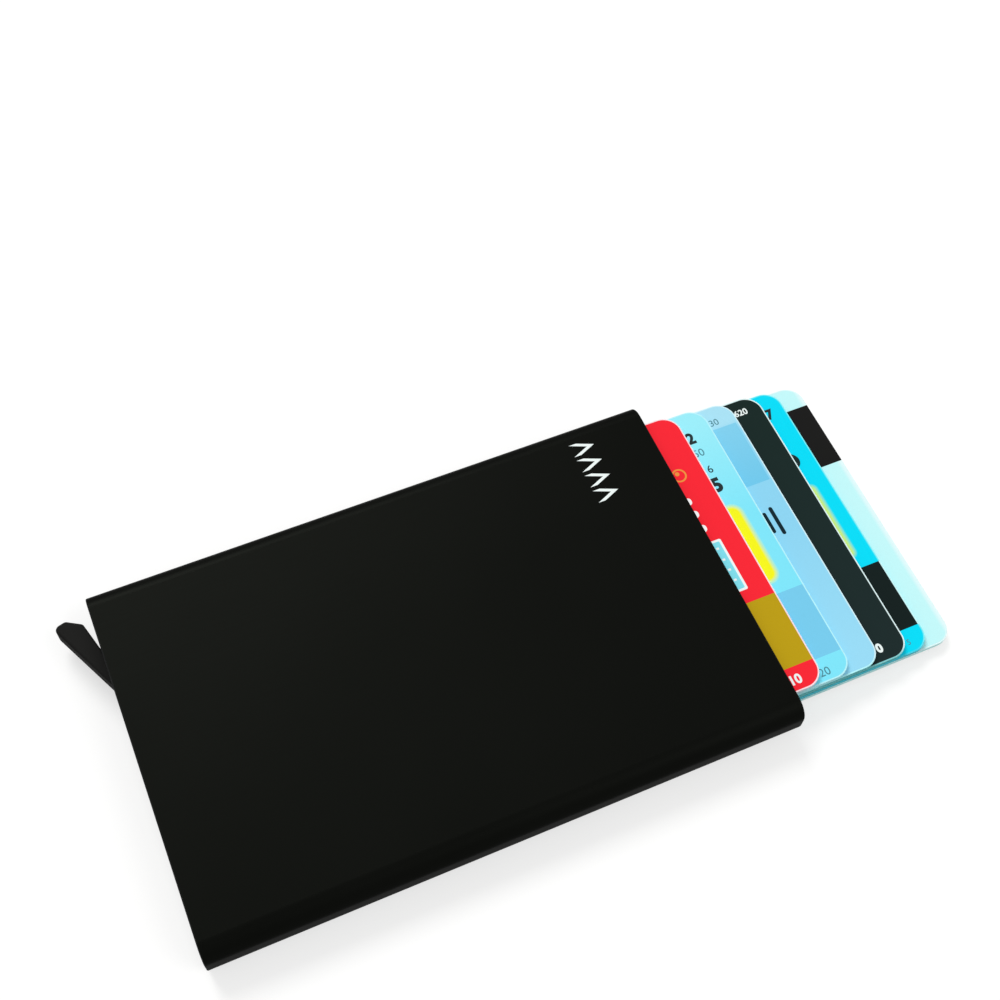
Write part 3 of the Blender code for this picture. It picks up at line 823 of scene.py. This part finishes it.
class Print:
    """The print of one card, drawn in metres: in from its front edge, and across from its middle."""

    def __init__(self, node):
        self.node = node
        self.body, _, self.hue = node.rpartition("_")
        self.low, self.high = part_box(node)
        self.material, self.sockets, start = new_material(
            f"{self.hue}_print", Specular_IOR_Level=laminate_gloss
        )
        self.place = object_place(start)
        x, self.across, self.height = parts(self.place)
        self.inwards = self.high.x - x
        self.upper = self.height.rising(self.low.z + card_edge, self.high.z - card_edge)
        self.colour = None

    def panel(self, low, high, radius=0.0, soft=print_soft):
        """A mask: a rectangle with round corners between two (inwards, across) places."""
        reach = [(b - a) / 2 - radius for a, b in zip(low, high)]
        centre = [(a + b) / 2 for a, b in zip(low, high)]
        along = (self.inwards - centre[0]).maths("ABSOLUTE") - reach[0]
        aside = (self.across - centre[1]).maths("ABSOLUTE") - reach[1]
        outer_along = along.maths("MAXIMUM", 0.0)
        outer_aside = aside.maths("MAXIMUM", 0.0)
        outer = (outer_along * outer_along + outer_aside * outer_aside).maths("SQRT")
        distance = outer + along.maths("MAXIMUM", aside).maths("MINIMUM", 0.0) - radius
        return distance.rising(soft / 2, -soft / 2)

    def stripe(self, across, start=-stripe_overrun):
        """A mask: a band along the whole card, between two places across it."""
        return self.panel((start, across[0]), (card_length, across[1]))

    def disc(self, centre, radius):
        """A mask: a round spot."""
        along = self.inwards - centre[0]
        aside = self.across - centre[1]
        distance = (along * along + aside * aside).maths("SQRT") - radius
        return distance.rising(print_soft / 2, -print_soft / 2)

    def paint(self, mask, ink):
        """Prints an ink over what is there, on the upper face alone."""
        self.colour = (mask * self.upper).colour(self.colour, ink)

    def border(self, near, front):
        """The margin's tone: the print bleeds into it along the near edge."""
        return self.across.rising(self.low.y + bleed_start, self.low.y + bleed_end).colour(near, front)

    def finish(self, margin, core):
        """Leaves a margin round the print, colours the card's sides and adds the laminate's gloss."""
        length, width = (self.high - self.low).xy
        printed = self.panel(
            (card_margin, self.low.y + card_margin),
            (length - card_margin, self.high.y - card_margin),
            card_round - card_margin,
        )
        side = self.height.rising(self.low.z + card_edge / 2, self.low.z + card_edge)
        side = side * self.height.rising(self.high.z - card_edge / 2, self.high.z - card_edge)
        flecks = noise(self.place, fleck_size)
        level = flecks * fleck_share + (1.0 - fleck_share / 2)
        flecked = self.place.node(
            "ShaderNodeVectorMath", {"operation": "SCALE"}, {0: self.colour, "Scale": level}
        )
        side.colour(printed.colour(margin, flecked), core).feed(self.sockets["Base Color"])
        haze = noise(self.place, laminate_haze_size, detail=3.0)
        roughness = laminate_roughness + haze * laminate_haze + side * side_haze
        roughness.feed(self.sockets["Roughness"])
        grain(flecks, fleck_strength, fleck_depth, self.sockets)
        return self.material


blank = Recipe(
    "die_cut_card",
    {
        "Length": card_length,
        "Width": card_width,
        "Thickness": card_thickness,
        "Corner Radius": card_round,
        "Edge Radius": card_edge,
        "X": 0.0,
        "Y": 0.0,
        "Z": 0.0,
    },
)
length, width, thickness = blank.wires("Length", "Width", "Thickness")
corner, edge = blank.wires("Corner Radius", "Edge Radius")
outline = blank.geometry(
    "CurvePrimitiveQuadrilateral", {"Width": length - edge * 2.0, "Height": width - edge * 2.0}
)
fillets = {"Curve": outline, "Count": round_steps, "Radius": corner - edge}
outline = blank.geometry("FilletCurve", fillets, {"mode": "POLY"})
base = blank.geometry("FillCurve", {"Curve": outline}, {"mode": "NGONS"})
under = blank.geometry("FlipFaces", {"Mesh": base})
levels = []
for j in range(1, card_edge_steps + 1):
    angle = math.pi / 2 * j / card_edge_steps
    levels.append((edge * (1 - math.sin(angle)), edge * (1 - math.cos(angle))))
levels += [(inset, thickness - height) for inset, height in levels[::-1]] + [(edge, thickness)]
position = blank.geometry("InputPosition", {})
level, top, inset, height = base, True, edge, 0.0
for next_inset, next_height in levels:
    lift = {"Mesh": level, "Selection": top, "Offset": upwards, "Individual": False}
    raised = blank.geometry("ExtrudeMesh", {**lift, "Offset Scale": next_height - height})
    top = raised.also("Top")
    along, aside = [(size - next_inset * 2.0) / (size - inset * 2.0) for size in (length, width)]
    grow = {0: position, 1: blank.vector(along, aside, 1.0)}
    grown = blank.start.node("ShaderNodeVectorMath", {"operation": "MULTIPLY"}, grow)
    level = blank.geometry("SetPosition", {"Geometry": raised, "Selection": top, "Position": grown})
    inset, height = next_inset, next_height
blank.finish(blank.moved(blank.welded(under, level), blank.vector(*blank.wires("X", "Y", "Z"))))


def card_piece(face, margin, core):
    """A die-cut card under its print: a rounded slab with just broken edges."""
    middle = (face.low + face.high) / 2
    size = face.high - face.low
    sizes = {"Length": size.x, "Width": size.y, "Thickness": size.z}
    sizes.update({"X": middle.x, "Y": middle.y, "Z": face.low.z})
    piece = shade(blank.make(f"printed_{face.body}", face.finish(margin, core), sizes))
    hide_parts(face.node)
    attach(piece, face.body)


# The red card: a gold stripe, a pale panel in a white frame with four ticks, three bars and a ring.
bar_half = 0.0007
tick_half = 0.0002
ring_centre = (0.0046, 0.0154)
red = Print("card_1_red")
red.colour = srgb(250, 40, 54)
red.paint(red.stripe(stripe_near), srgb(188, 157, 20))
red.paint(red.panel((0.0038, panel_low), (panel_end, 0.0020), 0.0003), srgb(244, 252, 252))
red.paint(red.panel((0.0042, -0.0076), (0.0636, 0.0016), 0.0002), srgb(132, 226, 240))
for across in (0.0102, 0.0076, 0.0047):
    red.paint(red.panel((0.0049, across - bar_half), (0.0140, across + bar_half), 0.0006), white)
for across in (0.0004, -0.0018, -0.0038, -0.0058):
    tick = red.panel((0.0048, across - tick_half), (0.0053, across + tick_half), 0.0001)
    red.paint(tick, srgb(240, 250, 250))
ring = red.disc(ring_centre, 0.0013) * (1.0 - red.disc(ring_centre, 0.0010))
red.paint(ring.maths("MAXIMUM", red.disc((0.0048, 0.0158), 0.0004)), srgb(238, 150, 66))
card_piece(red, srgb(255, 226, 232), srgb(214, 244, 252))

# The sky card: a blue stripe, and a yellow panel with a soft edge.
sky_card = Print("card_2_sky")
far_share = sky_card.across.rising(0.0050, 0.0240)
sky_card.colour = far_share.colour(srgb(128, 230, 250), srgb(156, 238, 250))
sky_card.paint(sky_card.stripe(stripe_near), srgb(120, 204, 237))
glow = sky_card.panel((0.0030, panel_low), (panel_end, 0.0073), radius=0.0018, soft=0.0010)
sky_card.paint(glow, srgb(246, 244, 30))
card_piece(sky_card, srgb(186, 244, 252), srgb(186, 250, 255))

# The blue card: a deeper stripe that stops short of the edge, and two short dark bars.
bar_ink = srgb(14, 38, 46)
blue = Print("card_3_blue")
blue.colour = blue.across.rising(0.0, -0.0240).colour(srgb(142, 213, 242), srgb(154, 220, 246))
blue.colour = blue.across.rising(0.0210, 0.0230).colour(blue.colour, srgb(170, 226, 245))
stripe_tone = blue.across.rising(*stripe_far).colour(srgb(113, 200, 235), srgb(130, 208, 238))
blue.paint(blue.stripe(stripe_far, 0.0006), stripe_tone)
blue.paint(blue.panel((0.0030, -0.0006), (0.0037, 0.0050), 0.00035), bar_ink)
blue.paint(blue.panel((0.0045, 0.0002), (0.0052, 0.0044), 0.00035), bar_ink)
card_piece(blue, blue.border(srgb(184, 248, 255), srgb(214, 244, 252)), srgb(96, 188, 192))

# The black card: plain, a little greener towards the far side.
black = Print("card_4_black")
black.colour = black.across.rising(-0.0250, 0.0250).colour(srgb(26, 41, 41), srgb(20, 38, 35))
card_piece(black, black.border(srgb(134, 206, 208), srgb(224, 246, 246)), srgb(78, 180, 186))

# The cyan card: a black stripe, a lime panel with a soft edge, and a dark disc.
cyan = Print("card_5_cyan")
cyan.colour = srgb(4, 221, 248)
stripe = cyan.stripe(stripe_near)
cyan.paint(stripe, srgb(15, 28, 27))
glow = cyan.panel((0.0030, panel_low), (panel_end, 0.0070), radius=0.0010, soft=0.0008)
cyan.paint(glow, srgb(206, 238, 130))
cyan.paint(cyan.disc((0.0044, 0.0124), 0.0016), srgb(26, 44, 44))
border = cyan.border(srgb(70, 216, 238), srgb(124, 240, 248))
card_piece(cyan, stripe.colour(border, srgb(206, 250, 252)), srgb(84, 206, 222))

# The aqua card: a black stripe that runs out over the edge.
stripe_black = srgb(22, 22, 21)
aqua = Print("card_6_aqua")
aqua.colour = aqua.inwards.rising(0.0, 0.0011).colour(srgb(240, 253, 254), srgb(197, 249, 250))
stripe = aqua.stripe(stripe_far)
aqua.paint(stripe, stripe_black)
card_piece(aqua, stripe.colour(srgb(226, 252, 252), stripe_black), srgb(200, 255, 255))


# Card numerals
# Plain numerals screen printed on the cards in a thin film of white, dark or grey ink, each line next
# to the card's front edge.
numeral_steps = 5
film_mottle_size = 0.0004
film_roughness = 0.4
film_gloss = 0.15
film_paler = 1.2
film_lift = 0.002
film_middle = Vector((0, 0, (ink_depth - ink_sink) / 2))


def ink(name, colour):
    """A slightly mottled printing ink."""
    material, sockets, start = new_material(
        name, Roughness=film_roughness, Specular_IOR_Level=film_gloss
    )
    paler = tuple(min(1.0, v * film_paler + film_lift) for v in colour)
    noise(object_place(start), film_mottle_size).colour(colour, paler).feed(sockets["Base Color"])
    return material


def numerals(name, digits, size, place, material, body, weight):
    """A line of plain numerals in a film of ink, which ends at a place on a card's face."""
    curve = bpy.data.curves.new(name, "FONT")
    curve.body = digits
    curve.size = size
    curve.align_x = "RIGHT"
    curve.align_y = "CENTER"
    curve.offset = weight
    curve.resolution_u = numeral_steps
    curve.extrude = (ink_depth + ink_sink) / 2
    line = bpy.data.objects.new(name, curve)
    scene.collection.objects.link(line)
    bpy.context.view_layer.update()
    mesh_data = bmesh.new()
    mesh_data.from_mesh(line.evaluated_get(bpy.context.evaluated_depsgraph_get()).to_mesh())
    bpy.data.objects.remove(line)
    bmesh.ops.remove_doubles(mesh_data, verts=mesh_data.verts, dist=weld_distance)
    bmesh.ops.translate(mesh_data, verts=mesh_data.verts, vec=Vector(place) + film_middle)
    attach(new_piece(name, mesh_data, material), body)


dark_ink = ink("dark_ink", srgb(20, 34, 38))
grey_ink = ink("grey_ink", srgb(74, 128, 140))

# Card, digits, height, place (in from the front edge, across), ink, and how much bolder.
card_lines = (
    (red, "10", 0.0022, (0.0035, -0.0251), ink_white, 0.00008),
    (sky_card, "4172", 0.0030, (0.0037, 0.0217), dark_ink, 0.00012),
    (sky_card, "38 50", 0.0021, (0.0034, 0.0186), grey_ink, 0.0),
    (sky_card, "27 16", 0.0021, (0.0036, 0.0150), dark_ink, 0.0),
    (sky_card, "5", 0.0036, (0.0036, 0.0117), dark_ink, 0.00018),
    (sky_card, "20", 0.0020, (0.0036, -0.0254), grey_ink, 0.0),
    (blue, "30", 0.0018, (0.0033, 0.0237), grey_ink, 0.0),
    (black, "620", 0.0017, (0.0028, 0.0243), ink_white, 0.00004),
    (black, "0", 0.0021, (0.0042, -0.0246), ink_white, 0.0001),
    (cyan, "57", 0.0028, (0.0025, 0.0225), dark_ink, 0.00012),
    (cyan, "5", 0.0014, (0.0030, -0.0252), grey_ink, 0.0),
)
for i, (face, digits, size, (inwards, across), film, weight) in enumerate(card_lines):
    place = (face.high.x - inwards, across, face.high.z)
    numerals(f"card_numerals_{i + 1}", digits, size, place, film, face.body, weight)
